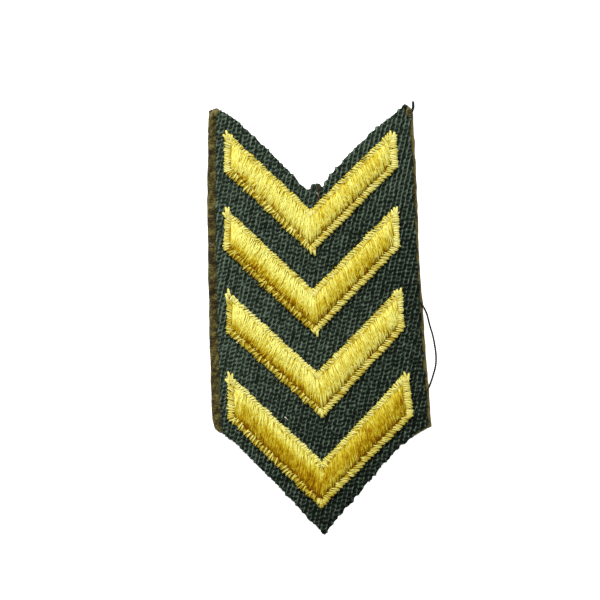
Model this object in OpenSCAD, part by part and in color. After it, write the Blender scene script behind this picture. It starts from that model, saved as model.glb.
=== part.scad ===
// Service stripe: a pointed cloth sleeve patch with four padded chevrons, points down.
// It lies face up. X runs across it, Y towards the notched end, Z out of the stitched face.

/* [Cloth layers] */
// Thickness of the felt backing
felt_t = 1.0; // [0.8:0.1:2]
// Thickness of the twill ground cloth
cloth_t = 1.0; // [0.8:0.1:1.6]

/* [Chevrons] */
// Width of the stitched band round each chevron
edging_w = 1.8; // [1.2:0.1:2]
// Height of that band above the cloth
edging_h = 0.9; // [0.6:0.1:1.4]
// Height of the padded filling above the cloth
fill_h = 1.4; // [1:0.1:2.2]
// Upright side of the band and of the filling, below their rounded tops
side_h = 0.3; // [0.1:0.05:0.5]
// Share of an arm over which the filling slopes down to its end
end_slope = 0.16; // [0.08:0.02:0.3]

/* [Assembly] */
// Space kept between neighbouring pieces
gap = 0.05; // [0.02:0.01:0.1]

/* [Hidden] */

// Columns of the outline table: the corner of each layer, and the bow of the side after it
FELT = 0;
CLOTH = 1;
BOW = 2;
// Corners anticlockwise from the tip. A positive bow swells outwards.
outline_table = [
    [[  1.2, -50.5], [  1.2, -50.3], -0.4],   // tip
    [[ 19.6, -29.4], [ 19.5, -29.2], -0.1],   // lower right side
    [[ 26.2, -24.9], [ 25.8, -24.8], -0.45],  // lower right corner
    [[ 22.0,  48.6], [ 21.6,  48.6],  0.15],  // top of the right side
    [[ 20.4,  50.5], [ 20.3,  50.3],  1.0],   // top right corner
    [[  1.3,  31.9], [  1.4,  31.7],  0],     // notch, right
    [[  0.2,  30.8], [  0.2,  30.6],  0],     // notch, bottom
    [[ -2.4,  30.9], [ -2.4,  30.7],  0],     // notch, left
    [[ -3.9,  31.7], [ -4.0,  31.6],  0.2],   // foot of the left slope
    [[-20.6,  48.2], [-20.7,  48.0],  0.1],   // head of the left slope
    [[-23.8,  49.8], [-23.2,  49.3],  0.1],   // top left corner
    [[-25.7,  49.1], [-23.7,  48.6],  0],     // top of the left side
    [[-26.0,  45.0], [-24.1,  44.5],  0.35],  // left side
    [[-24.9, -23.5], [-22.9, -24.0],  0],     // foot of the left side
    [[-24.2, -25.7], [-22.6, -26.6],  0],     // lower left corner
    [[-19.2, -29.4], [-19.1, -29.2], -0.2]    // lower left side
];
// Straight pieces that make up a bowed side
bow_steps = 8;

// Columns of the chevron table: the six corners of each bar
LEFT_TIP = 0;
LEFT_HEEL = 1;
INNER_POINT = 2;
OUTER_POINT = 3;
RIGHT_TIP = 4;
RIGHT_HEEL = 5;
chevron_table = [
    [[-21.7,  44.4], [-21.9,  34.7], [-1.8,  25.8], [-1.7,  15.7], [17.7,  45.1], [18.5,  35.8]],
    [[-21.7,  26.3], [-22.0,  16.2], [-1.2,   7.0], [-0.8,  -3.5], [18.5,  27.0], [18.9,  16.8]],
    [[-21.5,   7.1], [-21.5,  -2.9], [-0.2, -12.3], [ 0.9, -23.0], [19.6,   8.1], [20.2,  -2.1]],
    [[-21.3, -12.2], [-21.2, -23.2], [ 0.9, -33.2], [ 0.6, -44.2], [20.9, -11.9], [22.0, -22.7]]
];
chevron_count = len(chevron_table);

// Facets across a rounded top, and stations along each arm of the filling
round_steps = 10;
arm_steps = 8;

cloth_z = felt_t + gap;
stitch_z = cloth_z + cloth_t + gap;

function left_of(p, q) = [p.y - q.y, q.x - p.x] / norm(q - p);

// A side from a to just before b, swelling by bow to its right as a parabola
function side(a, b, bow) =
    let (steps = bow == 0 ? 1 : bow_steps)
    [for (i = [0 : steps - 1])
        let (t = i / steps)
        a + (b - a) * t - left_of(a, b) * bow * 4 * t * (1 - t)];

function outline(layer) =
    [for (i = [0 : len(outline_table) - 1])
        let (row = outline_table[i],
             next = outline_table[(i + 1) % len(outline_table)])
        each side(row[layer], next[layer], row[BOW])];

// Middle of the backing, which is moved to the origin
felt_x = [for (p = outline(FELT)) p.x];
felt_y = [for (p = outline(FELT)) p.y];
middle = [(min(felt_x) + max(felt_x)) / 2, (min(felt_y) + max(felt_y)) / 2];

// The bar's corners in order, anticlockwise
function bar_corners(k) =
    let (row = chevron_table[k - 1])
    [row[LEFT_HEEL], row[OUTER_POINT], row[RIGHT_HEEL],
     row[RIGHT_TIP], row[INNER_POINT], row[LEFT_TIP]];

// The same corners moved in by d, each along its mitre
function inset(corners, d) =
    [for (i = [0 : len(corners) - 1])
        let (last = corners[(i + len(corners) - 1) % len(corners)],
             here = corners[i],
             next = corners[(i + 1) % len(corners)],
             n1 = left_of(last, here),
             n2 = left_of(here, next))
        here + (n1 + n2) * d / (1 + n1 * n2)];

// Two triangles for each cell of a table of points, rows by columns, each row a closed ring
function ring_faces(rows, columns, closed) =
    [for (i = [0 : rows - (closed ? 1 : 2)], j = [0 : columns - 1])
        let (a = i * columns + j,
             b = i * columns + (j + 1) % columns,
             c = ((i + 1) % rows) * columns + (j + 1) % columns,
             d = ((i + 1) % rows) * columns + j)
        each [[a, b, c], [a, c, d]]];

// A rounded top as [share across, height]: an upright side, then half an ellipse
function round_top(height) =
    [for (j = [0 : round_steps])
        let (angle = 180 * j / round_steps)
        [(1 - cos(angle)) / 2, side_h + (height - side_h) * sin(angle)]];

module edging(k) {
    top = round_top(edging_h);
    profile = concat([[0, 0]], top, [[1, 0]]);
    rings = [for (p = profile) inset(bar_corners(k), p[0] * edging_w)];
    // One ring of profile points at each corner of the bar
    points = [for (i = [0 : 5], j = [0 : len(profile) - 1])
        [rings[j][i].x, rings[j][i].y, profile[j][1]]];
    color("khaki")
        translate([-middle.x, -middle.y, stitch_z])
            polyhedron(points, ring_faces(6, len(profile), true));
}

// Height factor along the filling: 0 at both ends, 1 past the end slope
function end_rise(s) =
    let (t = min(1, min(s, 2 - s) / end_slope))
    sqrt(1 - (1 - t) * (1 - t));

// Stations from the left end, 0, over the point, 1, to the right end, 2, closer at the ends
stations = concat(
    [for (i = [0 : arm_steps]) pow(i / arm_steps, 2)],
    [for (i = [arm_steps - 1 : -1 : 0]) 2 - pow(i / arm_steps, 2)]);

function along(a, b, c, s) = s < 1 ? a + (b - a) * s : b + (c - b) * (s - 1);

module filling(k) {
    bar = inset(bar_corners(k), edging_w + gap);
    columns = round_steps + 3;
    points = [for (s = stations)
        let (low = along(bar[0], bar[1], bar[2], s),
             high = along(bar[5], bar[4], bar[3], s),
             top = round_top(side_h + (fill_h - side_h) * end_rise(s)),
             profile = concat([[0, 0]], top, [[1, 0]]))
        each [for (p = profile)
            let (at = low + (high - low) * p[0])
            [at.x, at.y, p[1]]]];
    last = len(points) - columns;
    color("gold")
        translate([-middle.x, -middle.y, stitch_z])
            polyhedron(points, concat(
                ring_faces(len(stations), columns, false),
                [[for (j = [columns - 1 : -1 : 0]) j]],
                [[for (j = [0 : columns - 1]) last + j]]));
}

module layer(which, z, thick) {
    translate([-middle.x, -middle.y, z])
        linear_extrude(height = thick)
            polygon(outline(which));
}

module backing() {
    color([0.29, 0.26, 0.14]) layer(FELT, 0, felt_t);
}

module ground_cloth() {
    color([0.2, 0.23, 0.17]) layer(CLOTH, cloth_z, cloth_t);
}

backing();
ground_cloth();
for (k = [1 : chevron_count]) {
    edging(k);
    filling(k);
}
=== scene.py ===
import math

import bpy
import numpy as np
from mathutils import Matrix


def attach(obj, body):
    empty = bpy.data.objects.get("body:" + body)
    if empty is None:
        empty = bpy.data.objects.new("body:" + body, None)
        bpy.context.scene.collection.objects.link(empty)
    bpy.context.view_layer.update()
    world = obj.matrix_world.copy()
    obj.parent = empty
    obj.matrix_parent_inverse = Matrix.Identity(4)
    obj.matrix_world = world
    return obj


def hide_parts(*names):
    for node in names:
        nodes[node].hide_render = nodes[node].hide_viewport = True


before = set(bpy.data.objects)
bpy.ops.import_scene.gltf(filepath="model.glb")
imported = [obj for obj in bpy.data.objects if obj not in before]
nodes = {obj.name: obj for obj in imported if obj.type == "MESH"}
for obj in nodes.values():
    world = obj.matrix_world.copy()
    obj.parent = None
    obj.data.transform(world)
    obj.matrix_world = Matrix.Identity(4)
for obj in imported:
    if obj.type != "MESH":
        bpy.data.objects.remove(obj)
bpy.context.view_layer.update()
mm = 0.001  # every size below is in millimetres, and a mesh gets them times mm
print("frame loaded,", len(nodes), "nodes")

# the photo: its middle, and how far one of its pixels reaches on the patch
photo = {"middleX": 318.5, "middleY": 320.0, "pixel": 0.235, "shiftX": -0.092}


def fromPhoto(pixels):
    # place = (pixel - middle) * size of a pixel, with y turned up
    pixels = np.asarray(pixels, float)
    x = (pixels[:, 0] - photo["middleX"]) * photo["pixel"] + photo["shiftX"]
    y = (photo["middleY"] - pixels[:, 1]) * photo["pixel"]
    return np.stack([x, y], 1)


# Reading the frame

def nodePoints(name):
    # all vertices of a node, in mm
    mesh = nodes[name].data
    points = np.empty(len(mesh.vertices) * 3, np.float32)
    mesh.vertices.foreach_get("co", points)
    return points.reshape(-1, 3).astype(float) / mm


def outlineEdges(name):
    # top edges of the upright walls: those triangles have just two corners at the top
    mesh = nodes[name].data
    mesh.calc_loop_triangles()
    corners = np.empty(len(mesh.loop_triangles) * 3, np.int32)
    mesh.loop_triangles.foreach_get("vertices", corners)
    points = nodePoints(name)[corners.reshape(-1, 3)]
    high = points[:, :, 2] > points[:, :, 2].max() - 0.01
    wall = high.sum(1) == 2
    return points[wall][high[wall]].reshape(-1, 2, 3)[:, :, :2]


def barCorners(k):
    # corners of an edging's flat underside, outer and inner, both anticlockwise:
    # left tip, left heel, outer point, right heel, right tip, inner point
    points = nodePoints(f"chevron_edging_{k}")
    low = points[points[:, 2] < points[:, 2].min() + 0.01, :2]
    low = np.unique(low.round(3), axis=0)
    parts = [part[np.argsort(-part[:, 1])] for part in np.split(low, [2, 4, 8, 10])]
    outLeft, inLeft, middle, inRight, outRight = parts
    outer = np.array([*outLeft, middle[3], *outRight[::-1], middle[0]])
    inner = np.array([*inLeft, middle[2], *inRight[::-1], middle[1]])
    return outer, inner


# Arrays that every piece uses

def limit(x):
    # x kept from 0 to 1
    return np.clip(x, 0, 1)


def cellNoise(i, j, seed):
    # one value from 0 to 1 for each cell: the fraction left of a large sine
    return np.modf(np.abs(np.sin(i * 12.9898 + j * 78.233 + seed * 37.719) * 43758.5453))[0]


def noise(x, y, cell, seed):
    # -1 to 1: the corner values of a square lattice blended by 3t^2 - 2t^3
    x, y = x / cell, y / cell
    i, j = np.floor(x), np.floor(y)
    tx, ty = [t * t * (3 - 2 * t) for t in (x - i, y - j)]
    low, high = [cellNoise(i, j + up, seed) * (1 - tx) + cellNoise(i + 1, j + up, seed) * tx
                 for up in (0, 1)]
    return 2 * (low * (1 - ty) + high * ty) - 1


def bell(x, width):
    # 1 at 0 and falling as exp(-(x / width)^2)
    return np.exp(-(x / width) ** 2)


def unit(vectors):
    return vectors / np.maximum(np.linalg.norm(vectors, axis=-1, keepdims=True), 1e-9)


def leftOf(way):
    # directions in plan, turned a quarter left
    return np.stack([-way[:, 1], way[:, 0]], 1)


def skin(points, closed=False):
    # quads over points (batch, rings, sides, 3), with quad caps unless the rings close on
    # themselves; each ring runs so that its quads face outwards
    batch, rings, sides = points.shape[:3]
    index = np.arange(batch * rings * sides).reshape(batch, rings, sides)
    if closed:
        index = np.concatenate([index, index[:, :1]], 1)
    turned = np.roll(index, -1, 2)
    walls = np.stack([index[:, :-1], index[:, 1:], turned[:, 1:], turned[:, :-1]], -1)
    faces = [walls.reshape(-1, 4)]
    if not closed:
        k = np.arange(sides // 2 - 1)
        strip = np.stack([k, k + 1, sides - 2 - k, sides - 1 - k], 1)
        faces.append(index[:, 0][:, strip].reshape(-1, 4))
        faces.append(index[:, -1][:, strip[:, ::-1]].reshape(-1, 4))
    return faces


def strands(path, wide, high, sides=6, start=0.0):
    # ring point = centre + across * wide * cos(a) + up * high * sin(a);
    # across is level and square to the strand, up = across x along; start shifts the UV's length
    along = unit(np.gradient(path, axis=1))
    across = unit(np.cross(along, [0.0, 0.0, 1.0]))
    up = np.cross(across, along)
    a = 2 * np.pi * np.arange(sides) / sides
    wide = np.broadcast_to(wide, path.shape[:2])[..., None]
    high = np.broadcast_to(high, path.shape[:2])[..., None]
    points = (path[:, :, None]
              + across[:, :, None] * (wide * np.cos(a))[..., None]
              + up[:, :, None] * (high * np.sin(a))[..., None])
    step = np.linalg.norm(np.diff(path, axis=1), axis=2)
    length = np.pad(np.cumsum(step, 1), ((0, 0), (1, 0))) + np.reshape(start, (-1, 1))
    uv = np.stack([np.broadcast_to(length[:, :, None], points.shape[:3]),
                   np.broadcast_to(a / (2 * np.pi), points.shape[:3])], -1)
    return {"points": points.reshape(-1, 3), "faces": skin(points), "uv": uv.reshape(-1, 2)}


def withValues(part, shape, **values):
    # per-strand or per-ring values spread over a part's vertices
    for name, value in values.items():
        value = np.asarray(value, float)
        while value.ndim < len(shape):
            value = value[..., None]
        part[name] = np.broadcast_to(value, shape).reshape(-1)
    return part


def addObject(name, data, at=(0, 0, 0)):
    # a new object in the scene, at a place in mm
    made = bpy.data.objects.new(name, data)
    made.location = [c * mm for c in at]
    bpy.context.scene.collection.objects.link(made)
    return made


def makePiece(name, parts, material):
    # joins parts into one mesh; their tone and rise become vertex attributes, uv a UV map
    def joined(key, *shape):
        values = [part.get(key, np.zeros((len(part["points"]), *shape))) for part in parts]
        return np.concatenate(values).astype(np.float32)

    points = np.concatenate([part["points"] for part in parts]) * mm
    starts = np.cumsum([0] + [len(part["points"]) for part in parts])
    faces = [face + start for part, start in zip(parts, starts) for face in part["faces"]]
    loops = np.concatenate([face.ravel() for face in faces]).astype(np.int32)
    sizes = np.concatenate([np.full(len(face), face.shape[1]) for face in faces])
    mesh = bpy.data.meshes.new(name)
    mesh.vertices.add(len(points))
    mesh.vertices.foreach_set("co", points.ravel())
    mesh.loops.add(len(loops))
    mesh.loops.foreach_set("vertex_index", loops)
    mesh.polygons.add(len(sizes))
    mesh.polygons.foreach_set("loop_start", (np.cumsum(sizes) - sizes).astype(np.int32))
    mesh.polygons.foreach_set("use_smooth", np.ones(len(sizes), bool))
    mesh.update(calc_edges=True)
    for key in ("tone", "rise"):
        mesh.attributes.new(key, "FLOAT", "POINT").data.foreach_set("value", joined(key))
    mesh.uv_layers.new(name="thread").data.foreach_set("uv", joined("uv", 2)[loops].ravel())
    mesh.materials.append(material)
    piece = addObject(name, mesh)
    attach(piece, "root")
    print(" ", name, "has", len(sizes), "faces")
    return piece


# Node groups and materials

def newGroup(name, inputs, outputs):
    # a shader group with its own sockets, a vector for an input without a value and a number
    # for each other; returns it with the sockets of its two ends
    group = bpy.data.node_groups.new(name, "ShaderNodeTree")
    for socket, value in inputs.items():
        kind = "NodeSocketVector" if value is None else "NodeSocketFloat"
        made = group.interface.new_socket(name=socket, in_out="INPUT", socket_type=kind)
        if value is not None:
            made.default_value = value
    for socket in outputs:
        group.interface.new_socket(name=socket, in_out="OUTPUT", socket_type="NodeSocketFloat")
    start, end = group.nodes.new("NodeGroupInput"), group.nodes.new("NodeGroupOutput")
    return group, start.outputs, end.inputs


def node(tree, kind, settings=None, **links):
    # one node: settings are its properties, links name or number its inputs and what feeds them
    made = tree.nodes.new(kind)
    for key, value in (settings or {}).items():
        setattr(made, key, value)
    for key, value in links.items():
        socket = made.inputs[int(key[1:]) if key[0] == "i" else key]
        if isinstance(value, bpy.types.NodeSocket):
            tree.links.new(value, socket)
        else:
            socket.default_value = value
    return made


def maths(tree, operation, first, second=0.5, third=0.5):
    made = node(tree, "ShaderNodeMath", {"operation": operation}, i0=first, i1=second, i2=third)
    return made.outputs[0]


def fibreGroup():
    # fine fibres: noise stretched along the pattern, and a second, coarser one for patches
    group, start, end = newGroup("fibres", {"Vector": None, "Fineness": 6.0, "Patch": 0.4},
                                 ("Fibre", "Patches"))
    for scale, detail, roughness, mask in (("Fineness", 3.0, 0.65, "Fibre"),
                                           ("Patch", 4.0, 0.6, "Patches")):
        grain = node(group, "ShaderNodeTexNoise", Vector=start["Vector"], Scale=start[scale],
                     Detail=detail, Roughness=roughness)
        group.links.new(grain.outputs["Fac"], end[mask])
    return group


def twistGroup():
    # plies of a twisted thread: sin(2 pi (turns * length + around * plies)), from 0 to 1, and
    # noise stretched along them for the filaments
    group, start, end = newGroup("twist", {"UV": None, "Turns": 0.8, "Plies": 2.0},
                                 ("Ply", "Filament"))
    split = node(group, "ShaderNodeSeparateXYZ", Vector=start["UV"]).outputs
    turn = maths(group, "MULTIPLY", split["X"], start["Turns"])
    place = maths(group, "MULTIPLY_ADD", split["Y"], start["Plies"], turn)
    wave = maths(group, "SINE", maths(group, "MULTIPLY", place, 2 * math.pi))
    group.links.new(maths(group, "MULTIPLY_ADD", wave, 0.5, 0.5), end["Ply"])
    along = node(group, "ShaderNodeCombineXYZ", X=maths(group, "MULTIPLY", turn, 1.5),
                 Y=maths(group, "MULTIPLY", place, 9.0))
    fine = node(group, "ShaderNodeTexNoise", Vector=along.outputs["Vector"], Scale=1.0, Detail=2.0)
    group.links.new(fine.outputs["Fac"], end["Filament"])
    return group


fibres = fibreGroup()
twist = twistGroup()


def startMaterial(name, **settings):
    # a material with its Principled shader; what is the same all over is set on its sockets
    material = bpy.data.materials.new(name)
    material.use_nodes = True
    shader = material.node_tree.nodes["Principled BSDF"]
    for key, value in settings.items():
        shader.inputs[key.replace("_", " ")].default_value = value
    return material, material.node_tree, shader


def attribute(tree, name):
    return node(tree, "ShaderNodeAttribute", {"attribute_name": name}).outputs["Fac"]


def grained(tree, fineness, patch, stretch=(1, 1, 1), turn=0.0):
    # fibres on Object coordinates in mm, turned about Z and stretched
    place = node(tree, "ShaderNodeTexCoord").outputs["Object"]
    mapping = node(tree, "ShaderNodeMapping", Vector=place, Rotation=(0, 0, turn),
                   Scale=[s / mm for s in stretch])
    return node(tree, "ShaderNodeGroup", {"node_tree": fibres}, Vector=mapping.outputs["Vector"],
                Fineness=fineness, Patch=patch).outputs


def twisted(tree, turns, plies):
    # a twist along the piece's own UV map
    uv = node(tree, "ShaderNodeUVMap", {"uv_map": "thread"}).outputs["UV"]
    return node(tree, "ShaderNodeGroup", {"node_tree": twist}, UV=uv, Turns=turns,
                Plies=plies).outputs


def shifted(tree, level, *masks):
    # level + (mask - 0.5) * amount for each (mask, amount)
    for mask, amount in masks:
        level = maths(tree, "MULTIPLY_ADD", maths(tree, "SUBTRACT", mask, 0.5), amount, level)
    return level


def finishWith(tree, shader, level, stops, height, depth):
    # level picks the colour from (place, colour) stops, and height bumps the surface by depth mm
    ramp = node(tree, "ShaderNodeValToRGB", i0=level)
    elements = ramp.color_ramp.elements
    for k, (place, colour) in enumerate(stops):
        stop = elements[k] if k < 2 else elements.new(place)
        stop.position = place
        stop.color = (*colour, 1)
    tree.links.new(ramp.outputs["Color"], shader.inputs["Base Color"])
    bump = node(tree, "ShaderNodeBump", Height=height, Strength=1.0, Distance=depth * mm)
    tree.links.new(bump.outputs["Normal"], shader.inputs["Normal"])


def twillMaterial():
    material, tree, shader = startMaterial("green_twill", Roughness=0.9, Specular_IOR_Level=0.1)
    grain = grained(tree, 5.5, 0.22, (1, 0.35, 1), math.radians(13))
    yarn = twisted(tree, 2.6, 4.5)
    # painted shade: the rise attribute, 0 down in the holes and grooves and 1 on the ribs, sets the
    # colour, nearly black in the holes
    level = maths(tree, "ADD", attribute(tree, "rise"), attribute(tree, "tone"))
    level = shifted(tree, level, (grain["Fibre"], 0.8), (grain["Patches"], 0.12),
                    (yarn["Ply"], 0.2))
    stops = [(0.0, (0.001, 0.002, 0.001)), (1.0, (0.126, 0.176, 0.124)),
             (0.35, (0.008, 0.0128, 0.0075)), (0.7, (0.044, 0.0655, 0.0445))]
    finishWith(tree, shader, level, stops, maths(tree, "ADD", yarn["Ply"], grain["Fibre"]), 0.05)
    return material


def feltMaterial():
    material, tree, shader = startMaterial("olive_felt", Roughness=0.95, Specular_IOR_Level=0.15,
                                           Sheen_Weight=0.2, Sheen_Roughness=0.5)
    grain = grained(tree, 3.2, 0.8, (0.6, 1, 1))
    # painted shade: the rise attribute darkens the dips between the felt's lumps, along with its
    # own mottling
    level = maths(tree, "ADD", attribute(tree, "rise"), attribute(tree, "tone"))
    level = shifted(tree, level, (grain["Fibre"], 1.9), (grain["Patches"], 2.0))
    stops = [(0.0, (0.010, 0.006, 0.001)), (1.0, (0.172, 0.142, 0.035)),
             (0.5, (0.052, 0.041, 0.0075))]
    finishWith(tree, shader, level, stops, grain["Fibre"], 0.12)
    return material


def threadMaterial(name, stops, roughness, turns, shine=(1, 1, 1)):
    # satin thread: its tone attribute, the plies, the filaments and patches of lighter and darker
    # tone choose the colour
    material, tree, shader = startMaterial(name, Specular_IOR_Level=0.15, Specular_Tint=(*shine, 1))
    plies, mottling = twisted(tree, turns, 2.0), grained(tree, 1.6, 0.45)
    level = shifted(tree, attribute(tree, "tone"), (plies["Ply"], 0.16), (plies["Filament"], 0.45),
                    (mottling["Patches"], 0.4))
    rough = maths(tree, "MULTIPLY_ADD", plies["Filament"], 0.3, roughness - 0.15)
    tree.links.new(rough, shader.inputs["Roughness"])
    height = maths(tree, "MULTIPLY_ADD", plies["Filament"], 0.6, plies["Ply"])
    finishWith(tree, shader, level, stops, height, 0.035)
    return material


# Camera, lights and floor

# in mm: the camera's place and height, how much it sees across, and its sensor's width
view = {"x": -4.35, "y": 4.7, "height": 1200.0, "framed": 141.0, "sensor": 36.0}
light = {"place": (-260.0, 590.0, 540.0), "size": 380.0, "power": 7.0, "world": 0.56,
         "floor": 3.0,  # how far the floor reaches, in metres
         "floorGlow": 0.85, "floorDrop": 0.02}  # its own light, and how far down it is, in mm


def makeStudio():
    # a camera straight above, one square light that faces the origin, and a pale floor
    scene = bpy.context.scene
    camera = bpy.data.cameras.new("camera")
    camera.sensor_width = view["sensor"]
    camera.lens = view["sensor"] * view["height"] / view["framed"]
    camera.clip_end = 10
    scene.camera = addObject("camera", camera, (view["x"], view["y"], view["height"]))
    lamp = bpy.data.lights.new("window", "AREA")
    lamp.shape = "SQUARE"
    lamp.size = light["size"] * mm
    lamp.energy = light["power"]
    way = -np.array(light["place"])
    tilt = math.acos(-way[2] / np.linalg.norm(way))
    turn = math.atan2(way[1], way[0]) - math.pi / 2
    addObject("window", lamp, light["place"]).rotation_euler = (tilt, 0, turn)
    scene.world = bpy.data.worlds.new("studio")
    scene.world.use_nodes = True
    background = scene.world.node_tree.nodes["Background"].inputs
    background["Color"].default_value = (1, 1, 1, 1)
    background["Strength"].default_value = light["world"]
    scene.view_settings.view_transform = "Standard"
    mesh = bpy.data.meshes.new("floor")
    corners = [(x * light["floor"], y * light["floor"], -light["floorDrop"] * mm)
               for x, y in ((-1, -1), (1, -1), (1, 1), (-1, 1))]
    mesh.from_pydata(corners, [], [(0, 1, 2, 3)])
    mesh.materials.append(startMaterial(
        "pale_floor", Roughness=0.9, Specular_IOR_Level=0.2, Base_Color=(0.9, 0.9, 0.9, 1),
        Emission_Color=(1, 1, 1, 1), Emission_Strength=light["floorGlow"])[0])
    floor = addObject("floor", mesh)


makeStudio()
print("camera, light and floor set")


# Sheets cut to the frame's outlines

def cutGrid(edges, columns, rows):
    # a lattice whose columns are cut where they cross the outline: column i keeps the rows
    # between its two crossings, and its end vertices lie on them
    low, high = edges[:, 0], edges[:, 1]
    across = (high[:, 0] - low[:, 0])[None]
    share = (columns[:, None] - low[None, :, 0]) / np.where(np.abs(across) < 1e-9, 1e-9, across)
    hit = (share >= -1e-9) & (share <= 1 + 1e-9)
    crossing = low[None, :, 1] + (high - low)[None, :, 1] * share
    bottom = np.where(hit, crossing, np.inf).min(1)
    top = np.where(hit, crossing, -np.inf).max(1)
    spare = 0.3 * np.diff(rows).min()
    first = np.searchsorted(rows, bottom + spare) - 1
    last = np.maximum(np.searchsorted(rows, top - spare), first)
    last[[0, -1]] = first[[0, -1]]  # the two end columns are single corners
    row = np.arange(len(rows))
    v = np.where(row <= first[:, None], bottom[:, None], rows[None])
    v = np.where(row >= last[:, None], top[:, None], v)
    v[[0, -1]] = bottom[[0, -1], None]
    start = np.arange(len(columns)) * len(rows)
    index = start[:, None] + np.clip(row[None], first[:, None], last[:, None])
    a, b, c, d = index[:-1, :-1], index[1:, :-1], index[1:, 1:], index[:-1, 1:]
    triangles = np.concatenate([np.stack(corners, -1).reshape(-1, 3)
                                for corners in ((a, b, c), (a, c, d))])
    triangles = triangles[(triangles != np.roll(triangles, 1, 1)).all(1)]
    used = np.unique(triangles)
    renumber = np.zeros(index.size, int)
    renumber[used] = np.arange(len(used))
    lattice = np.stack([np.broadcast_to(columns[:, None], v.shape), v], -1).reshape(-1, 2)[used]
    ring = renumber[np.concatenate([start + first, (start + last)[-2:0:-1]])]
    return lattice, renumber[triangles], ring


def edgeDistance(points, edges):
    # the shortest distance from each point to any outline edge
    a, ab = edges[:, 0], edges[:, 1] - edges[:, 0]
    t = ((points[:, None] - a[None]) * ab[None]).sum(2) / (ab * ab).sum(1)[None]
    near = a[None] + ab[None] * limit(t)[..., None]
    return np.linalg.norm(points[:, None] - near, axis=2).min(1)


def ringNormals(ring):
    # outward normals of an anticlockwise ring of points, in plan
    return -leftOf(unit(np.roll(ring, -1, 0) - np.roll(ring, 1, 0)))


def cutSheet(name, cloth, pattern=(0.0,), spare=0.1, rowStep=1.0):
    # a node's outline filled with a lattice of its cloth's own, where
    # (x, y - bow x^2) = u weave[0] + v weave[1]; columns stand at pattern in each whole u, and
    # the drop is the cloth's rounding towards its edge
    edges, levels = outlineEdges(name), nodePoints(name)[:, 2]
    x, y = edges[..., 0], edges[..., 1]
    weave, bow = np.array(cloth["weave"]), cloth["bow"]
    slanted = np.stack([x, y - bow * x ** 2], -1) @ np.linalg.inv(weave)
    first, low = slanted.min((0, 1))
    last, high = slanted.max((0, 1))
    columns = (np.arange(math.floor(first), math.ceil(last) + 1)[:, None] + pattern).ravel()
    columns = columns[(columns > first + spare) & (columns < last - spare)]
    rows = np.arange(math.floor(low), math.ceil(high) + 0.01, rowStep)
    lattice, triangles, ring = cutGrid(slanted, np.array([first, *columns, last]), rows)
    flat = lattice @ weave
    flat[:, 1] += bow * flat[:, 0] ** 2
    away = edgeDistance(flat, edges)
    drop = cloth["drop"] * limit(1 - away / cloth["dropWidth"]) ** 2
    return {"lattice": lattice, "triangles": triangles, "ring": ring, "flat": flat, "away": away,
            "drop": drop, "bottom": levels.min(), "top": levels.max()}


def spreadEdge(sheet, outward, swells):
    # moves the cut edge outwards: each swell is its facing, 0 or 1 for a range along x or y,
    # that range and the move, which fades in over 1.5 mm
    flat, ring = sheet["flat"], sheet["ring"]
    normals = ringNormals(flat[ring])
    for faceX, faceY, axis, first, last, move in swells:
        along = flat[ring, axis]
        facing = limit(4 * (normals @ [faceX, faceY]) - 3)
        outward = outward + move * facing * limit(np.minimum(along - first, last - along) / 1.5)
    flat[ring] += normals * outward[:, None]


def closeSheet(sheet, height, walls, back=None):
    # top grid, then a wall ring for each (outward, height) in walls, then the back:
    # long strips from side to side, or a second grid where its heights are given
    flat, triangles, ring = sheet["flat"], sheet["triangles"], sheet["ring"]
    edge = flat[ring]
    normals = ringNormals(edge)
    points, faces = [np.column_stack([flat, height])], [triangles]
    last, total = ring, len(flat)
    for outward, z in walls:
        points.append(np.column_stack([edge + normals * outward, np.broadcast_to(z, len(ring))]))
        level = total + np.arange(len(ring))
        faces.append(np.stack([level, np.roll(level, -1), np.roll(last, -1), last], 1))
        last, total = level, total + len(ring)
    if back is None:
        count = len(ring) // 2 + 1
        low = last[:count]
        high = np.concatenate([last[:1], last[:count - 1:-1], last[count - 1:count]])
        faces.append(np.stack([low[1:-2], high[1:-2], high[2:-1], low[2:-1]], 1))
        faces.append(np.array([[low[0], high[1], low[1]], [low[-2], high[-2], low[-1]]]))
    else:
        inside = np.ones(len(flat), bool)
        inside[ring] = False
        renumber = np.empty(len(flat), int)
        renumber[inside] = total + np.arange(inside.sum())
        renumber[ring] = last
        points.append(np.column_stack([flat[inside], back[inside]]))
        faces.append(renumber[triangles][:, ::-1])
    return np.concatenate(points), faces


twill = {
    # from one column of holes to the next, and from one hole to the next in a column
    "weave": ((2.13, 0.33), (0.225, 1.0)),
    "bow": -0.00137,  # the weft's bend across the patch, per mm
    # columns of vertices for each column of holes: on its middle and on both sides of each rail
    "pattern": (0, 0.1, 0.175, 0.25, 0.33, 0.5, 0.67, 0.75, 0.825, 0.9), "rowStep": 0.2,
    "rail": 0.25, "railWidth": 0.068,  # the two raised ribs beside a column of holes
    "depth": 0.26,  # of the holes below the ribs
    "drop": 0.3, "dropWidth": 0.45, "ragged": 0.24,  # how its edge rounds down and frays
    # where the cut edge swells out of the frame's outline or draws back
    "swells": [(0.67, 0.74, 0, -21, -4, 0.32), (-0.67, 0.74, 0, 1.5, 5.5, 0.4),
               (0.7, -0.7, 0, -1, 15, 0.3), (1.0, 0.1, 1, 42.2, 46.4, -0.5),
               (-1.0, 0.0, 1, 37.5, 41, -0.25), (-1.0, 0.0, 1, 45, 48.5, -0.3)],
}


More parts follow.
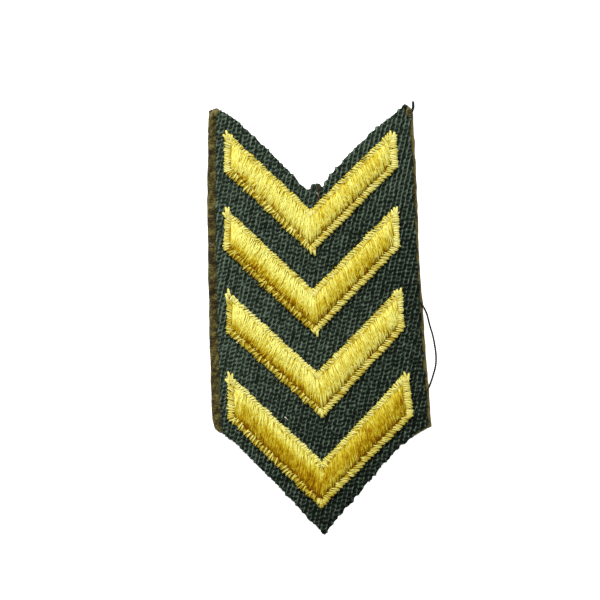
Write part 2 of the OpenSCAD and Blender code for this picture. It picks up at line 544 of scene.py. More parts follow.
def twillRise(u, v, even):
    # rise is 1 on the ribs and 0 in the holes and grooves: two flat-topped rails at +-rail of a
    # column, exp(-(x / width)^4), a rung between them at each whole v, and a groove half way to
    # the next column that uneven cross threads bridge; the rails bulge round the holes by
    # swing cos(2 pi step) and are beaded, less where even is 1
    column = np.round(u)
    off = u - column + 0.05 * noise(u * 2, v, 0.8, 3)
    v = v - 0.12 * off + 0.22 * (cellNoise(column, 0, 5) - 0.5) + 0.08 * noise(u, v, 0.9, 4)
    cell = np.floor(v + 0.5)
    step = v - cell
    chance, length, strength = [cellNoise(column, cell, seed) for seed in (11, 12, 14)]
    rung = bell(off, 0.24) * bell(step - 0.25 * (chance - 0.5), 0.17 + 0.14 * length)
    rung = rung * (0.5 + 0.3 * strength) * (1 - 0.3 * even)
    lively = noise(u * 6 + 7, v, 0.35, 21)
    swing = 0.015 * np.cos(2 * np.pi * step)
    beads = 0.38 - 0.26 * even
    rails = []
    for side, late, uneven in ((1, 0.2, lively), (-1, 0.0, noise(u * 6, v, 0.35, 22))):
        way = off + side * (twill["rail"] - swing) + 0.03 * lively
        level = 0.79 + 0.13 * even + beads * np.cos(2 * np.pi * (step - late)) + 0.8 * uneven
        rails.append(np.exp(-(way / twill["railWidth"]) ** 4) * level)
    groove = np.floor(u)
    slip = v + 0.35 + 0.5 * cellNoise(groove, 0, 6)
    cross = np.floor(slip + 0.5)
    link = cellNoise(groove, cross, 13)
    bridge = bell(u - groove - 0.5, 0.2) * bell(slip - cross, 0.18 + 0.1 * link)
    bridge = bridge * (0.16 + 0.5 * link) * (1 - 0.5 * even)
    return 1 - np.prod([1 - limit(part) for part in (*rails, rung, bridge)], axis=0)


def makeTwill():
    # the ground cloth: every rib, rung and hole has vertices of its own
    sheet = cutSheet("ground_cloth", twill, twill["pattern"], 0.03, twill["rowStep"])
    (u, v), ring, drop = sheet["lattice"].T, sheet["ring"], sheet["drop"]
    x, y = sheet["flat"].T
    even = limit(0.4 + x / 25) * limit(y / 12 - 1.6)
    rise = twillRise(u + 0.05 * noise(x, y, 9, 31), v + 0.16 * noise(x, y, 7, 32), even)
    x, y = x[ring], y[ring]
    ragged = (rise[ring] - 0.3 + (1.1 + 0.03 * x) * noise(x, y, 0.75, 33)
              + 0.4 * noise(x, y, 0.35, 36) + 0.02 * x)
    spreadEdge(sheet, twill["ragged"] * ragged, twill["swells"])
    x, y = sheet["flat"].T
    top, thick = sheet["top"], sheet["top"] - sheet["bottom"]
    height = (top - twill["depth"] * (1 - rise) - drop
              + noise(x, y, 11, 34) * 0.04 * limit(sheet["away"] / 2.0))
    walls = [(0.06, top - drop[ring] - 0.35), (0.02, sheet["bottom"] + 0.3 * thick),
             (-0.06, sheet["bottom"])]
    points, faces = closeSheet(sheet, height, walls)
    # painted light: lighter towards the top and over the even weave at the top right, where the
    # lamp's sheen falls, and darker towards the bottom; besides that darker towards the right, with
    # a lighter band across the middle, and the noise terms are the cloth's own tone at random
    toneAndPaintedLight = (0.04 * y / 50 - 0.11 * x / 25 + 0.11 + 0.055 * bell(y + 4, 12) + 0.16 * even
            + 0.02 * noise(x, y, 6, 35) + 0.16 * noise(u * 6, v * 3, 1.0, 37)
            - 0.08 * limit(-y / 12 - 2.6))
    extra = len(points) - len(x)
    # the rise that shapes the ribs also goes into the colour, as painted shade in the holes and
    # grooves
    part = {"points": points, "faces": faces,
            "rise": np.pad(rise, (0, extra), constant_values=0.35),
            "tone": np.pad(toneAndPaintedLight, (0, extra), constant_values=-0.05),
            "uv": np.pad(sheet["lattice"][:, ::-1], ((0, extra), (0, 0)))}
    piece = makePiece("ground_twill", [part], twillMaterial())
    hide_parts("ground_cloth")
    return piece


felt = {"weave": ((0.42, 0.0), (0.1, 0.42)), "bow": 0.0,
        "relief": 0.12, "drop": 0.32, "dropWidth": 0.5,  # depth of its lumps, rounding of its edge
        "swells": [(-1, 0, 1, 35, 49.5, -0.17), (1, 0, 1, 4, 21.5, -0.2),
                   (1, 0, 1, 42, 48.5, -0.15)],
        "back": 0.38, "backNear": 0.36,  # how far it draws back where the twill's edge is so near
        "right": 0.42}  # how far it swells out of the frame's outline on the right


def makeFelt():
    # the backing: an even lattice on both faces, with the lumps of pressed wool
    sheet = cutSheet("backing", felt)
    ring, drop, away = sheet["ring"], sheet["drop"], sheet["away"]
    bottom, top = sheet["bottom"], sheet["top"]
    x, y = sheet["flat"].T
    lumps = (0.55 * noise(x, y, 0.85, 41) + 0.4 * noise(x, y * 1.3, 0.55, 42)
             + 0.2 * noise(x, y, 0.3, 43))
    height = top - felt["relief"] * (1 - lumps) * 0.5 - drop
    back = bottom + felt["relief"] * 0.5 * (1 + noise(x, y, 0.6, 44)) * limit(away / 0.5)
    x, y = x[ring], y[ring]
    cover = edgeDistance(sheet["flat"][ring], outlineEdges("ground_cloth"))
    frill = (0.08 * noise(x, y, 0.6, 45) + 0.1 * noise(x, y, 1.5, 46)
             - felt["back"] * limit((felt["backNear"] - cover) / 0.1)
             + felt["right"] * limit(x - 19))
    spreadEdge(sheet, frill, felt["swells"])
    walls = [(0.05, top - drop[ring] - 0.28), (0.0, bottom + 0.25), (-0.12, bottom)]
    points, faces = closeSheet(sheet, height, walls, back)
    x, y, z = points.T
    # painted light: lighter along the right edge, which the twill above leaves in shade; darker
    # towards the bottom; the noise is the felt's own mottling
    tone = 0.45 * limit(x - 18) + 0.4 * noise(x, y, 0.7, 47) - 0.1 * limit(-y / 15 - 0.5)
    # the lumps' height also goes into the colour through rise, as painted shade in the dips
    part = {"points": points, "faces": faces,
            "rise": np.pad(0.5 + 0.45 * lumps, (0, len(points) - len(lumps)), constant_values=0.45),
            "tone": tone * limit((z - bottom - 0.15) / 0.1)}  # none on the back
    piece = makePiece("felt_backing", [part], feltMaterial())
    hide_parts("backing")
    return piece


twillPiece = makeTwill()
feltPiece = makeFelt()
print("cloth and felt made")


# Chevrons

def between(a, b, t):
    return a + (b - a) * t[..., None]


def armPoint(ends, s):
    # s from 0 at the left end, over 1 at the point, to 2 at the right end
    left, point, right = ends
    return np.where((s < 1)[..., None], between(left, point, s), between(point, right, s - 1))


def stainsAndLitSpots(x, y, spots):
    # each spot is (pixel x, pixel y, reach x, reach y, depth) and adds depth * exp(-distance^2)
    total = np.zeros(np.shape(x))
    for px, py, reachX, reachY, depth in spots:
        middle = fromPhoto([(px, py)])[0]
        total = total + depth * np.exp(-((x - middle[0]) / (reachX * photo["pixel"])) ** 2
                                       - ((y - middle[1]) / (reachY * photo["pixel"])) ** 2)
    return total


chevron = {
    "perArm": 120,  # stitches to an arm, by which the dark pricks clump
    # where the stitches are: first and last station and how many, closer at both ends
    "stations": ((-0.048, 0.03, 26), (0.037, 1.96, 226), (1.966, 2.025, 14)),
    # how far the stitches lean half way along each chevron's left and right arm, as shares of it
    "leans": ((0.065, -0.05), (0.085, -0.05), (0.085, -0.05), (0.0, -0.05)),
    "bend": (0.75, 1.25),  # and how their lean bends across the left and the right arm
    # more lean at the left and the right end, how far that reaches, and the share of an arm over
    # which the stitches' lower ends climb the end itself
    "endLeans": (0.045, -0.02), "endReach": 0.35, "climb": 0.1,
    # how far the filling goes out over the end bands, on each chevron's left and right
    "wider": ((0.5, 0.45), (0.65, 0.9), (0.75, 0.85), (0.3, 0.35)),
    "gather": (0.028, 0.05),  # the lower ends bunch up near the left tip: by how much, how far
    "lowRound": 1.15, "highRound": 0.8,  # the hump's power at its lower and its upper edge
    "lowRest": 0.3, "highRest": 0.42,  # how high the ends rest above the cloth
    "thread": 0.15, "threadHigh": 0.08,  # half width and half height of a stitch
    "rings": 16,  # points along it
    "stray": 0.1, "lift": 0.025, "ripple": 0.03,  # how far it goes aside, up and in waves
    "grain": 0.15,  # how much a stitch's tone differs along it
    # short lengths over the others: how many to an arm, their points, half width, length as a
    # share of the way across, and how far they lie askew
    "floats": 260, "floatRings": 6, "floatThread": 0.13, "floatReach": (0.12, 0.34),
    "floatAskew": 0.3,
    "endSlope": 0.16, "endHigh": 0.45,  # the bar's end: share of an arm that slopes, and its height
    # how far stitches reach over the lower and the upper band, on the left and the right arm
    "lowOver": (0.6, 0.35), "highOver": (0.95, 0.7),
    # the padding: its grid, how far it lies under the stitches, and its tones across the bar, which
    # paint shade into the gaps between the stitches, darkest at the lower edge
    "padSteps": 110, "padColumns": 25, "padUnder": 0.1, "padTones": (0.0, 0.25, 0.5, 0.45),
    "shade": 0.48,  # how much darker a stitch's sides are than its top
    # painted shade in the needle's holes, on the left and the right arm
    "pricks": (0.7, 0.5),  # how much darker the needle's holes are along both arms' lower sides
    # tones of each chevron's upper part, middle and lower flank, on its left and its right arm: the
    # thread's own gold, darker on the fourth chevron, with painted light and shade: most left arms
    # have a darker lower flank, shaded from the light above, the right arms are darker in the
    # middle for the satin's sheen, and their flanks are lifted where the lamp leaves them in shade
    "tones": (((0.84, 0.9, 0.81), (0.73, 0.66, 0.76)), ((1.02, 0.76, 0.48), (0.78, 0.47, 0.6)),
              ((1.0, 0.74, 0.5), (0.83, 0.67, 0.88)), ((0.95, 0.29, 0.32), (0.57, 0.26, 0.54))),
    "spread": 0.1,  # how much that differs from stitch to stitch
    # curls over the fourth chevron's inner point: how far they bow aside, their half width, half
    # height, arch and tone, and each one's two ends in photo pixels
    "curlBow": (0.12, 0.3), "curlThread": 0.19, "curlHigh": 0.12, "curlArch": 0.16,
    "curlTone": 0.95,
    "curls": [(313, 464, 319, 461), (314, 462.5, 321, 466), (316, 466, 321, 464),
              (312, 472, 317, 467), (313, 473, 318, 470), (321, 462, 326, 467),
              (323, 463, 327, 466), (325, 468, 331, 470), (326, 470, 330, 471),
              (325, 457, 330, 460), (327, 460, 332, 463), (326, 464, 331, 466),
              (317, 475, 320, 472)],
    # stains, and three lighter spots of painted light over the slopes near the right ends of the
    # first three chevrons: photo pixel, reach in pixels along x and y, and how much lighter
    "spots": [(373, 440, 8, 4, -0.36), (367, 430, 4, 3, -0.5), (379, 438, 4, 2.5, -0.25),
              (368, 448, 6, 2.5, -0.15), (361, 452, 4, 4, -0.45), (309, 481, 9, 9, -0.2),
              (320, 492, 14, 6, -0.12), (371, 436, 3, 2, 0.2),
              # painted light: these three lift the shaded slopes near the right ends
              (386, 154, 7, 10, 0.25), (393, 318, 7, 9, 0.18), (389, 232, 6, 9, 0.1),
              (319, 467, 8, 7, -0.35)],
}


class Bar:
    # a padded bar: its lower and upper side, widened at both ends, and its levels
    def __init__(self, k):
        leftTip, leftHeel, outerPoint, rightHeel, rightTip, innerPoint = barCorners(k)[1]
        left, right = chevron["wider"][k - 1]
        self.lower, self.upper = [
            (a + unit(a - point) * left, point, b + unit(b - point) * right)
            for a, point, b in ((leftHeel, outerPoint, rightHeel), (leftTip, innerPoint, rightTip))]
        levels = nodePoints(f"chevron_fill_{k}")[:, 2]
        self.low, self.top = levels.min(), levels.max()
        self.tones, self.leans = chevron["tones"][k - 1], chevron["leans"][k - 1]


def halfTurn(count):
    # angles over half a turn, and the share across at each: (1 - cos(angle)) / 2
    angle = np.pi * np.arange(count) / (count - 1)
    return angle, (1 - np.cos(angle)) / 2


def solidUnder(xy, crown, level, tone, closed=False):
    # a closed form from the crown's heights over xy down to a flat underside at a level
    upper = np.concatenate([xy, crown[..., None]], -1)
    lower = np.concatenate([xy, np.full((*crown.shape, 1), level)], -1)[:, ::-1]
    points = np.concatenate([upper, lower], 1)[None]
    part = {"points": points.reshape(-1, 3), "faces": skin(points, closed)}
    return withValues(part, points.shape[1:3], tone=np.concatenate([tone, tone[:, ::-1]], 1))


def endRise(s):
    # a quarter circle up over the end slope of each arm
    t = limit(np.minimum(s, 2 - s) / chevron["endSlope"])
    return np.sqrt(1 - (1 - t) ** 2)


def humpAt(q):
    # half an ellipse, 2 sqrt(q (1 - q)), to a power that goes from lowRound to highRound
    power = chevron["lowRound"] + (chevron["highRound"] - chevron["lowRound"]) * q
    return (2 * np.sqrt(limit(q * (1 - q)))) ** power


def reachOver(lowEnd, highEnd, arm, over):
    # both ends moved out over the edging band, by over times lowOver and highOver, and the way
    # from the lower to the upper one
    way = unit(highEnd - lowEnd)
    return (lowEnd - way * over * np.take(chevron["lowOver"], arm)[:, None],
            highEnd + way * over * np.take(chevron["highOver"], arm)[:, None], way)


def climbing(bar, s):
    # places on the lower side, which past its ends run up the left and the right end instead,
    # and the share of the end that they have climbed
    place = armPoint(bar.lower, np.clip(s, 0, 2))
    climbed = np.zeros((len(s), 1))
    for past, side in ((-s, 0), (s - 2, 2)):
        share = limit(past / chevron["climb"])[:, None]
        place = place + (bar.upper[side] - bar.lower[side]) * share
        climbed = climbed + share
    return place, climbed


def fillPlace(bar, s, q, over, rng):
    # a stitch runs from s - lean on the lower side to s + lean on the upper one, where lean is
    # leans sin(pi s) / 2 + endLeans e^-(way to the end / endReach), and its lower end moves on by
    # gather n e^(1 - n), n = s / its reach; across the bar, x goes as q^bend and y evenly
    jitter = rng.normal(0, chevron["stray"] / 9, (2, len(s)))
    near = np.clip(s, 0, None) / chevron["gather"][1]
    bunch = chevron["gather"][0] * near * np.exp(1 - near)
    arm = (s > 1).astype(int)
    toEnd = limit(np.where(arm == 1, 2 - s, s)) / chevron["endReach"]
    lean = (np.take(bar.leans, arm) * np.sin(np.pi * (s - arm)) / 2
            + np.take(chevron["endLeans"], arm) * np.exp(-toEnd))
    lowEnd, climbed = climbing(bar, s - lean + bunch + jitter[0])
    highEnd = armPoint(bar.upper, s + lean + jitter[1])
    lowEnd, highEnd, way = reachOver(lowEnd, highEnd, arm, over)
    lowEnd = lowEnd - way * rng.normal(0, 0.1, (len(s), 1))
    highEnd = highEnd + way * rng.normal(0, 0.1, (len(s), 1))
    across = climbed + (1 - climbed) * q
    station = (s - lean + bunch)[:, None] + (2 * lean - bunch)[:, None] * q
    run = highEnd - lowEnd
    x = lowEnd[:, :1] + run[:, :1] * q ** np.take(chevron["bend"], arm)[:, None]
    y = lowEnd[:, 1:] + run[:, 1:] * q
    return x, y, fillRise(bar, station, across), humpAt(across), across


def fillRise(bar, s, q):
    # rest + (rise - rest) * hump, where rest goes from lowRest to highRest across the bar, and
    # rise from endHigh to the node's top along it
    rise = chevron["endHigh"] + (bar.top - bar.low - chevron["endHigh"]) * endRise(s)
    rest = chevron["lowRest"] + (chevron["highRest"] - chevron["lowRest"]) * q
    return rest + (rise - rest) * humpAt(q)


def fillTone(bar, x, y, s, q, rng):
    # the chevron's three tones across it, with their painted light and shade; painted shade in the
    # needle holes at the stitches' roots; painted light over the left end's slope; and stains, with
    # lighter spots of painted light near the right ends
    right = (s > 1)[:, None]
    left, other = [np.interp(q, [0.0, 0.22, 0.5, 0.85], [flank - 0.06, flank, middle, upper])
                   for upper, middle, flank in bar.tones]
    # painted shade in the needle holes: darker where the stitches go down, most at their lower
    # roots on the flank and less at their upper ends
    reach = rng.uniform(0.1, 0.36, (len(x), 1)) * np.where(right, 1.35, 1.0)
    clump = 0.95 + noise(s * chevron["perArm"], 0 * s, 2.4, 62) + rng.normal(0, 0.2, len(x))
    prick = (0.3 + limit(2 * noise(x, y, 0.6, 61))) * np.clip(clump, 0.1, 2)[:, None]
    prick = prick * limit(0.3 + 8 * np.minimum(s, 2 - s))[:, None]
    roots = limit(1 - q / reach) + 0.6 * limit((q - 0.88) / 0.12)
    # painted light: the bell at s = 0 lightens the left end's steep slope out of its shade
    return (np.where(right, other, left) + rng.normal(0, chevron["spread"], (len(x), 1))
            + 0.18 * bell(s, 0.07)[:, None] + stainsAndLitSpots(x, y, chevron["spots"])
            - np.where(right, *chevron["pricks"][::-1]) * prick * roots)


def stitch(x, y, z, wide, high, tone, rng, shade=chevron["shade"]):
    # one strand for each row, its sides darker than its top: tone + shade * (sin(a) - 0.75)
    sides = 6
    part = strands(np.stack([x, y, z], -1), wide, high, sides, rng.uniform(0, 90, len(x)))
    around = np.sin(2 * np.pi * np.arange(sides) / sides)
    return withValues(part, (*x.shape, sides), tone=tone[..., None] + shade * (around - 0.75))


def fillStitches(bar, rng):
    # satin stitches over the whole bar
    s = np.concatenate([np.linspace(*part) for part in chevron["stations"]])
    count = len(s)
    angle, q = halfTurn(chevron["rings"])
    q = np.broadcast_to(q, (count, len(q)))
    x, y, rise, hump, q = fillPlace(bar, s, q, 1.0, rng)
    wave = rng.uniform(0, 2 * np.pi, (count, 3))
    lift = rng.normal(0, chevron["lift"], (count, 1))
    lift = lift + chevron["ripple"] * np.sin(angle * 4.3 + wave[:, 1:2])
    z = bar.low + rise - chevron["threadHigh"] + lift * hump
    x = x + chevron["stray"] * np.sin(angle * 2.3 + wave[:, :1]) * hump
    wide = chevron["thread"] * rng.uniform(0.8, 1.2, (count, 1)) * (0.85 + 0.15 * hump)
    tone = fillTone(bar, x, y, s, q, rng)
    tone = tone + rng.normal(0, chevron["grain"], x.shape) * (1.15 - 0.8 * q)
    return stitch(x, y, z, wide, chevron["threadHigh"] * (0.5 + 0.5 * hump), tone, rng)


def fillFloats(bar, rng):
    # lengths of thread that lie askew over the others and break up their lines
    count = 2 * chevron["floats"]
    s = rng.uniform(0.03, 1.97, count)
    reach = rng.uniform(*chevron["floatReach"], count)
    first = rng.uniform(0.04, 0.97 - reach)
    t = np.linspace(0, 1, chevron["floatRings"])
    q = first[:, None] + reach[:, None] * t
    x, y, rise, hump, q = fillPlace(bar, s, q, 0.8, rng)
    arch = np.sin(np.pi * t)
    z = bar.low + rise - 0.05 + 0.03 * arch - 0.1 * (1 - arch)
    askew, bent = [rng.normal(0, most, (count, 1)) for most in (chevron["floatAskew"], 0.05)]
    x = x + askew * (t - 0.5) + bent * np.sin(4.5 * t)
    wide = chevron["floatThread"] * rng.uniform(0.8, 1.25, (count, 1)) * (0.45 + 0.55 * arch)
    # painted shade: the floats are darker at their ends, where they dip under the other stitches
    tone = fillTone(bar, x, y, s, q, rng) + 0.03 - 0.1 * (1 - arch)
    return stitch(x, y, z, wide, 0.06 * (0.5 + 0.5 * arch), tone, rng)


def fillCurls(bar, rng):
    # thick loose curls over the filling at its inner point: places in photo pixels
    ends = np.array(chevron["curls"], float)
    start, end = fromPhoto(ends[:, :2]), fromPhoto(ends[:, 2:])
    t = np.linspace(0, 1, 7)
    way = end - start
    bow = rng.uniform(*chevron["curlBow"], (len(ends), 1))
    bow = bow * (-1.0) ** np.arange(len(ends))[:, None]
    square = unit(leftOf(way))
    xy = (start[:, None] + way[:, None] * t[None, :, None]
          + square[:, None] * (bow * np.sin(np.pi * t))[..., None])
    high, low = bar.upper[1][1], bar.lower[1][1]
    q = np.clip(1 - (high - xy[..., 1]) / (high - low), 0, 0.97)
    z = bar.low + fillRise(bar, np.ones((len(ends), 1)), q)
    z = z + chevron["curlArch"] * np.sin(np.pi * t) - 0.04
    off = np.abs(2 * t - 1)
    # painted shade: the curls are darker towards their ends, where they go down into the filling
    tone = chevron["curlTone"] + rng.normal(0, 0.05, (len(ends), 1)) - 0.2 * off ** 3
    return stitch(xy[..., 0], xy[..., 1], z, chevron["curlThread"] - 0.05 * off,
                  chevron["curlHigh"], tone, rng)


def fillPad(bar):
    # the padding under the stitches: the same hump, lower, on a grid of stations and columns
    s = np.linspace(0, 2, 2 * chevron["padSteps"] + 1)
    lowEnd, highEnd, _ = reachOver(armPoint(bar.lower, s), armPoint(bar.upper, s), (s > 1) * 1, 0.9)
    q = halfTurn(chevron["padColumns"])[1]
    xy = lowEnd[:, None] + (highEnd - lowEnd)[:, None] * q[None, :, None]
    grain = noise(xy[..., 0] * 2.5, xy[..., 1], 0.6, 63)
    crown = bar.low + fillRise(bar, s[:, None], q[None]) - chevron["padUnder"] + 0.04 * grain
    # painted shade: the pad shows only in the gaps between the stitches, and its tones darken them,
    # most at the lower edge
    tone = np.interp(q, [0.0, 0.22, 0.5, 1.0], chevron["padTones"])
    # painted light over the left end's slope, as on the stitches; the grain is random
    tone = tone + 0.4 * bell(s, 0.07)[:, None] + 0.25 * grain
    return solidUnder(xy, crown, bar.low - 0.05, tone)


edging = {
    "threadHigh": 0.11, "rings": 7,  # half height of a strand, and points along it
    "peak": 0.8, "innerRest": 0.38,  # its highest level, and its inner end's
    "longest": 2.3, "shortest": 1.05,
    "spikeThread": 0.19, "apexThread": 0.16,  # half widths of the strands at tips and inner point
    "spikeApart": (0.07, 0.2),  # how far a spike's two strands are from its middle, end and root
    "spikeLook": (0.84, 0.1, 0.2, 0.5),  # their tone, fall, shade and blunt
    "wobble": 0.14,  # how far the band's outer edge wanders
    # one value for each side: left end, lower left, lower right, right end, upper right, upper left
    "sides": {
        # directions of the strands, from the outer edge inwards, at a side's start, middle and
        # end, how far both turns reach, and how much of the band they cover at the same places
        "turns": ((-62, -10, 26), (25, 42, 65), (118, 171, 178), (165, 184, 262),
                  (-92, -13, -40), (235, 204, 255)),
        "fans": ((2.2, 2.0), (1.0, 2.2), (2.6, 1.2), (2.0, 1.5), (3.2, 1.2), (1.2, 2.4)),
        "widths": ((1.45, 1.55, 1.5), (1.6, 1.6, 1.6), (1.4, 1.5, 1.6), (1.5, 1.55, 1.4),
                   (1.6, 1.35, 1.3), (1.2, 1.2, 1.5)),
        "pitch": (0.8, 0.93, 0.95, 0.87, 0.87, 0.87),  # from one pair to the next
        "skew": (0, -34, 6, 0, 14, 14),  # how much a pair's second strand is turned from its first
        "bare": ((0.8, 0), (0, 0), (0, 0), (0, 1.4), (1.2, 0), (0, 0.8)),  # none this near the tips
        "proud": (0.13, 0.08, 0.12, 0.26, 0.04, 0.0),  # how far they reach out
        "thread": (0.54, 0.42, 0.46, 0.54, 0.53, 0.57),  # a strand's width as a share of the pitch
        "pair": (0.25, 0.24, 0.19, 0.25, 0.24, 0.25),  # and how far it is from its pair's middle
        "closing": (1.0, 1.0, 0.8, 0.95, 1.0, 1.0),  # share of that at their outer ends
        "blunt": (0.5, 0.5, 0.5, 0.5, 0.72, 0.75),  # width of their ends, a share of the middle's
        # painted shade: the strands' ends are darker where they go down into the cloth and under
        # the filling
        "fall": (0.1, 0.3, 0.25, 0.16, 0.2, 0.17),  # how much darker their ends are
        "second": (0.1, 0.25, 0.14, 0.05, 0.17, 0.14),  # and a pair's second strand
        "shade": (0.26, 0.4, 0.42, 0.26, 0.31, 0.27),  # and their sides
        "lean": (11.0, 14.0, 9.0, 11.0, 14.0, 15.0),  # how much their directions differ
        "uneven": ((0.1, 0.18), (0.15, 0.24), (0.08, 0.16), (0.1, 0.18), (0.1, 0.16),
                   (0.1, 0.16)),  # and their two ends
    },
    # for each chevron: its sides' tones, with painted light from above that makes the upper sides
    # of the last three chevrons lighter than the lower ones, how much the left end's directions
    # differ, and for the left and right ends the share of their widths that they have and how far
    # they are moved out
    "tones": ((0.8, 0.8, 0.82, 0.92, 0.84, 0.8), (0.78, 0.6, 0.8, 0.88, 0.85, 0.84),
              (0.62, 0.74, 0.8, 0.82, 0.87, 1.0), (0.7, 0.74, 0.74, 0.8, 0.93, 1.04)),
    "endTurns": (0, -4, -18, -20),
    "ends": (((0.9, 1.0), (0.12, 0.25)), ((0.85, 0.85), (0.12, 0.1)),
             ((0.75, 0.72), (-0.12, -0.12)), ((1.0, 1.0), (-0.05, 0.15))),
    # the core that shows between them, side by side: its tone, which paints the shade between the
    # strands, its height, and its outer and inner edge as shares of the band
    "coreTones": (0.45, 0.3, 0.3, 0.45, 0.48, 0.58),
    "coreHeights": (0.66, 0.5, 0.55, 0.67, 0.68, 0.7),
    "cores": ((0.08, 0.78), (0.15, 0.92), (0.1, 0.92), (0.1, 0.8), (0.06, 0.9), (0.04, 0.88)),
    "coreSteps": 100, "coreColumns": 9,
    "coreGrain": (0.1, 0.22),  # how much its height and its tone differ from place to place
    "tipCut": 0.4,  # how far its corners draw back at the tips
    # strands over the inner point, in mm from its outer corner: outer end, then root
    "apex": ((-0.55, 0.3, -1.15, -1.25), (-0.2, -0.05, -0.5, -1.6), (0.15, -0.05, 0.05, -1.7),
             (0.3, 0.05, 0.6, -1.55), (0.6, 0.3, 1.2, -1.15)),
    # spikes at the tips and the points, in photo pixels: outer end, then root
    "spikes": [
        [(226.4, 130.6, 229.2, 139), (223.6, 134.6, 229, 141), (229.6, 134.2, 230.4, 141),
         (232.6, 135, 231.6, 142), (390.6, 130.8, 391.3, 141), (394.8, 132.2, 391.8, 141),
         (396.3, 137, 391, 142), (315.5, 256, 314.2, 248.5), (311.3, 254.5, 312, 246)],
        [(226, 207, 228, 217), (229.3, 207, 228.2, 217), (223, 212.5, 228.5, 218),
         (397.3, 206.6, 395.6, 215.5), (394, 207.5, 395.8, 214), (391.8, 210.5, 394, 216),
         (317.8, 337, 317.5, 328), (314, 333.5, 316, 327)],
        [(228.5, 288.5, 230.5, 298), (226.3, 293.5, 228.8, 302), (233.5, 295.3, 236, 301),
         (401.4, 287.6, 400, 295.5), (397, 289.2, 399.5, 296), (394.2, 290.7, 397.3, 297),
         (322.8, 417.5, 321.5, 409), (318.8, 414.5, 320.5, 408)],
        [(228.4, 371.3, 231.6, 382), (233, 373.2, 231.8, 382), (225.7, 378.7, 231, 384),
         (236.2, 379, 233, 385), (404.2, 371.5, 407, 380.5), (409, 373, 407.5, 382),
         (402.8, 376, 406, 383), (399.3, 379.5, 403, 385), (321.8, 507, 320.6, 498.5),
         (317.8, 504, 319.5, 497.5)],
    ],
}


def edgingSide(k, outer, side, rng):
    # pairs of strands over one side of the band, one pair to a pitch. A pair starts on the outer
    # edge in the direction middle + (first - middle) e^-(d / reach)^1.5 + the same from the far
    # end, runs width / sin(angle to the edge) inwards, with a width that changes in the same
    # way, and closes up into a tooth at its start
    own = {key: values[side] for key, values in edging["sides"].items()}
    corner, run = outer[side], outer[(side + 1) % 6] - outer[side]
    length = np.linalg.norm(run)
    clear = length - sum(own["bare"])
    count = int(round(clear / own["pitch"]))
    d = own["bare"][0] + (np.arange(count) + 0.5) / count * clear + rng.normal(0, 0.05, count)
    near, far = [np.exp(-(np.clip(way, 0, None) / reach) ** 1.5)
                 for way, reach in zip((d, length - d), own["fans"])]
    angle, width = [middle + (first - middle) * near + (last - middle) * far
                    for first, middle, last in (own["turns"], own["widths"])]
    proud = own["proud"]
    if side in (0, 3):
        share, out = [values[side // 3] for values in edging["ends"][k - 1]]
        width, proud = width * share, proud + out
    if side == 0:
        angle = angle + edging["endTurns"][k - 1]
    angle = np.radians(angle + rng.normal(0, own["lean"], count))
    slant = np.abs(np.sin(angle - math.atan2(run[1], run[0])))
    reach = np.clip(width / np.maximum(slant, 0.3), edging["shortest"], edging["longest"])
    step = own["pitch"] * np.clip(slant, 0.55, 1)
    place = corner + run * (d / length)[:, None]
    wobble = noise(*place.T, 1.9, 51) + 0.7 * noise(*place.T, 0.8, 52)
    place = place + np.array([run[1], -run[0]]) / length * (edging["wobble"] * wobble)[:, None]
    starts, ends = [], []
    for half in (-1, 1):
        turned = angle + half * math.radians(own["skew"] / 2)
        way = np.stack([np.cos(turned), np.sin(turned)], 1)
        across = leftOf(way) * (half * step)[:, None]
        begin = -proud + rng.normal(0, own["uneven"][0], count)
        stop = reach - proud + own["proud"] + rng.normal(0, own["uneven"][1], count)
        starts.append(place + way * begin[:, None] + across * own["pair"] * own["closing"])
        ends.append(place + way * stop[:, None] + across * (own["pair"] + 0.04))
    tone = edging["tones"][k - 1][side] + rng.normal(0, 0.06, count)
    return (np.concatenate(starts), np.concatenate(ends), np.tile(own["thread"] * step * 0.5, 2),
            np.concatenate([tone, tone - own["second"]]),
            *[np.full(2 * count, own[key]) for key in ("fall", "shade", "blunt")])


def spikes(end, root, thread):
    # two strands for each spike, apart at its root and closing up towards its outer end, with
    # their thread, tone, fall, shade and blunt
    way = unit(end - root)
    side = leftOf(way)
    tips, roots = [np.concatenate([place + side * apart, place - side * apart])
                   for place, apart in zip((end, root), edging["spikeApart"])]
    return (tips, roots, *[np.full(len(tips), value) for value in (thread, *edging["spikeLook"])])


def edgingStrands(start, end, wide, tone, fall, shade, blunt, bar, rng, lift=0.0):
    # each strand is a low arch, hump = sin(angle)^0.6, from the cloth to its inner rest; its width
    # is wide * (blunt + (1 - blunt) * hump), and its tone falls by
    # fall * (1 - exp(-((q - 0.6) / 0.42)^2)), painted shade towards both ends where it goes down
    count = len(start)
    angle, q = halfTurn(edging["rings"])
    hump = np.sin(angle) ** 0.6
    length = np.linalg.norm(end - start, axis=1)
    rise = np.minimum(edging["peak"], 0.25 + 0.35 * length) + rng.normal(0, 0.05, count) + lift
    rest = -0.1 + (edging["innerRest"] + 0.1) * q
    z = bar.low + rest + ((rise - edging["threadHigh"])[:, None] - rest) * hump
    xy = start[:, None] + (end - start)[:, None] * q[None, :, None]
    taper = blunt[:, None] + (1 - blunt[:, None]) * hump
    spread = wide[:, None] * rng.uniform(0.9, 1.12, (count, 1)) * taper
    level = (tone + rng.normal(0, 0.07, count))[:, None] - fall[:, None] * (1 - bell(q - 0.6, 0.42))
    # the stains, and the painted light near the right ends, reach over the edging too, more weakly
    level = level + stainsAndLitSpots(xy[..., 0], xy[..., 1], chevron["spots"]) * 0.4
    high = edging["threadHigh"] * (0.6 + 0.4 * hump[None])
    return stitch(xy[..., 0], xy[..., 1], z, spread, high, level, rng, shade=shade[:, None, None])


